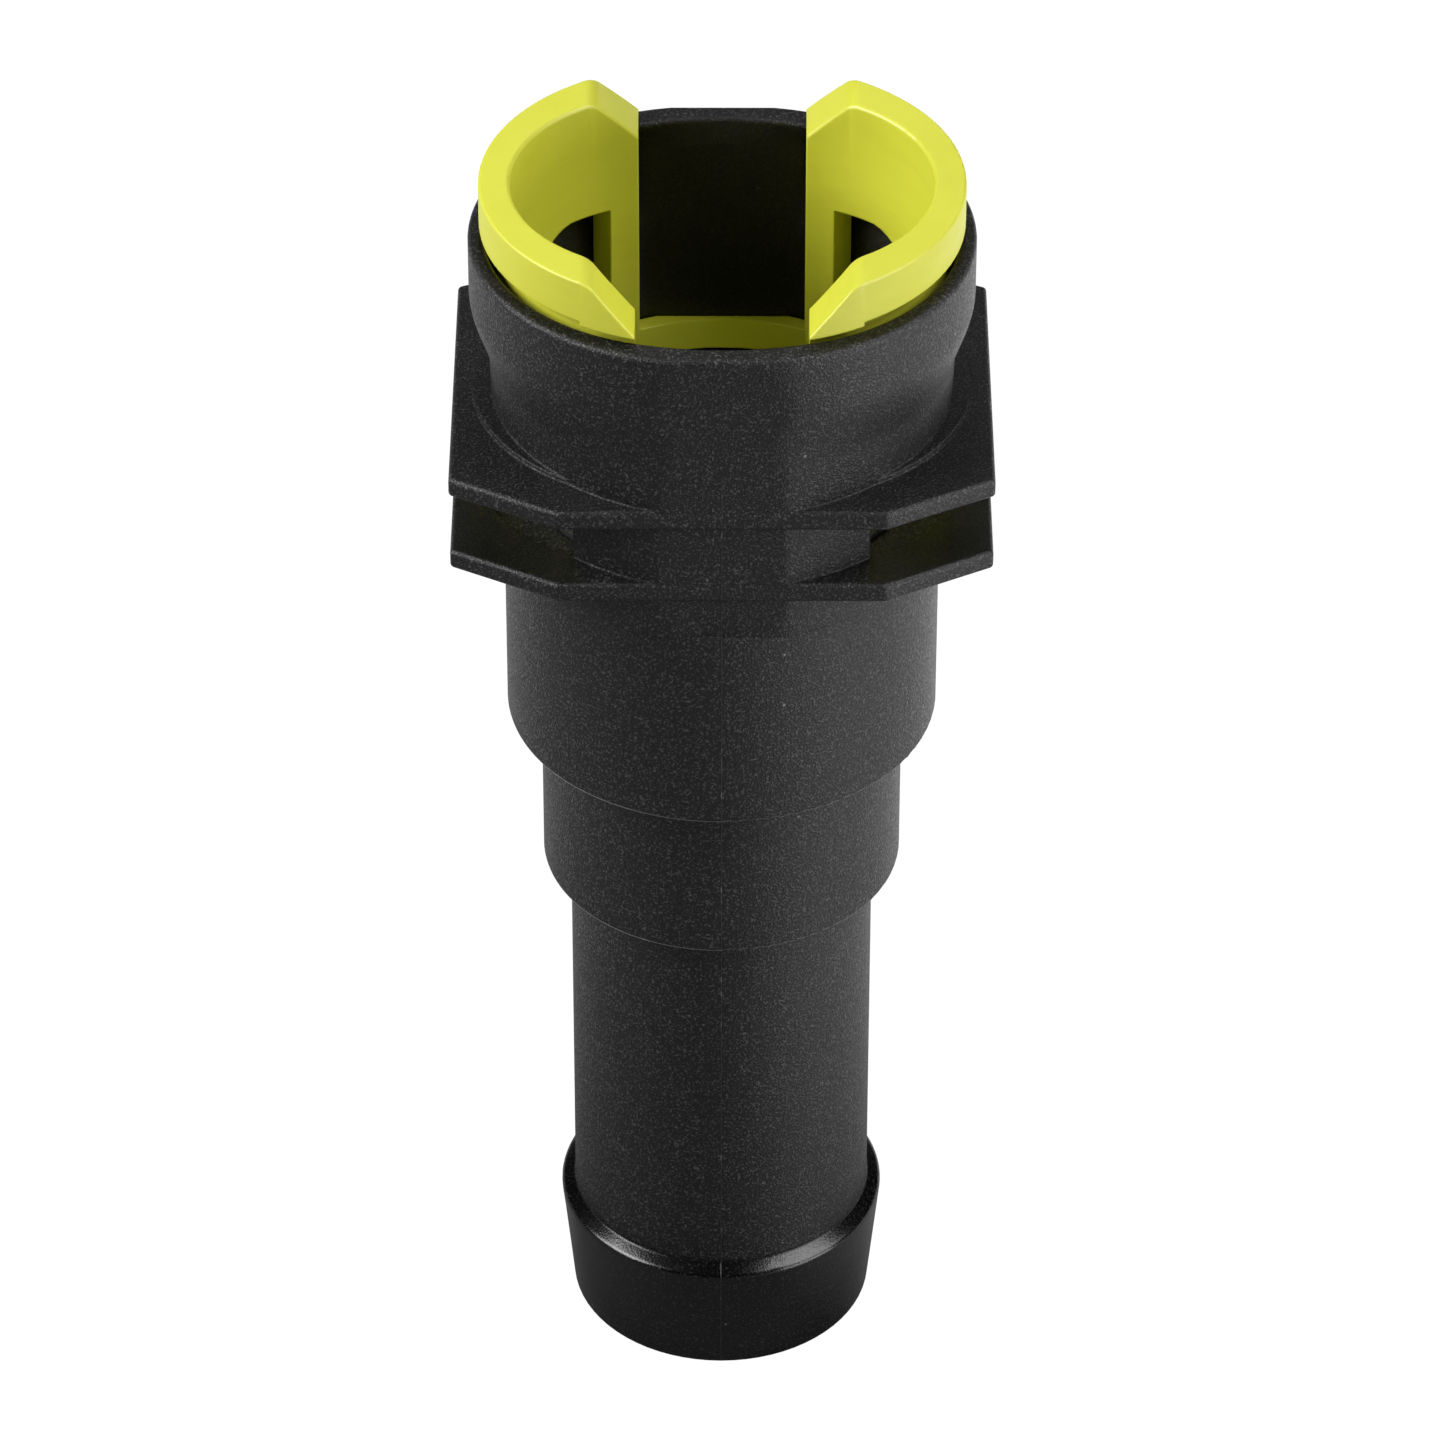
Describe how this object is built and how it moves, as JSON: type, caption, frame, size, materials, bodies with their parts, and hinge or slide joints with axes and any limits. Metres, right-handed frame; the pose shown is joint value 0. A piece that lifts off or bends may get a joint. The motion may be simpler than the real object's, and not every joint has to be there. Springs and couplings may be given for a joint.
{
  "type": "coolant hose connector",
  "caption": "Straight coolant hose connector: hose barb below, and a quick connector socket with side windows, flanges and a squeeze-release spring retainer above.",
  "frame": {"origin": "centre of the hose barb's flat end, on the connector's axis", "axes": "+Z along the axis from the hose end to the socket, +X through a window and an arm, +Y through a flat and a gap between the arms"},
  "size_m": [0.0324, 0.0278, 0.085],
  "materials": {
    "moulding": "fine-grained glass-filled nylon",
    "retainer": "waxy smooth",
    "seal": "smooth",
    "guide": "plain"
  },
  "bodies": {
    "root": {"body": "moulding", "retainer": "retainer", "seal_lower": "seal", "spacer": "guide", "seal_upper": "seal", "bushing": "guide"}
  },
  "joints": []
}
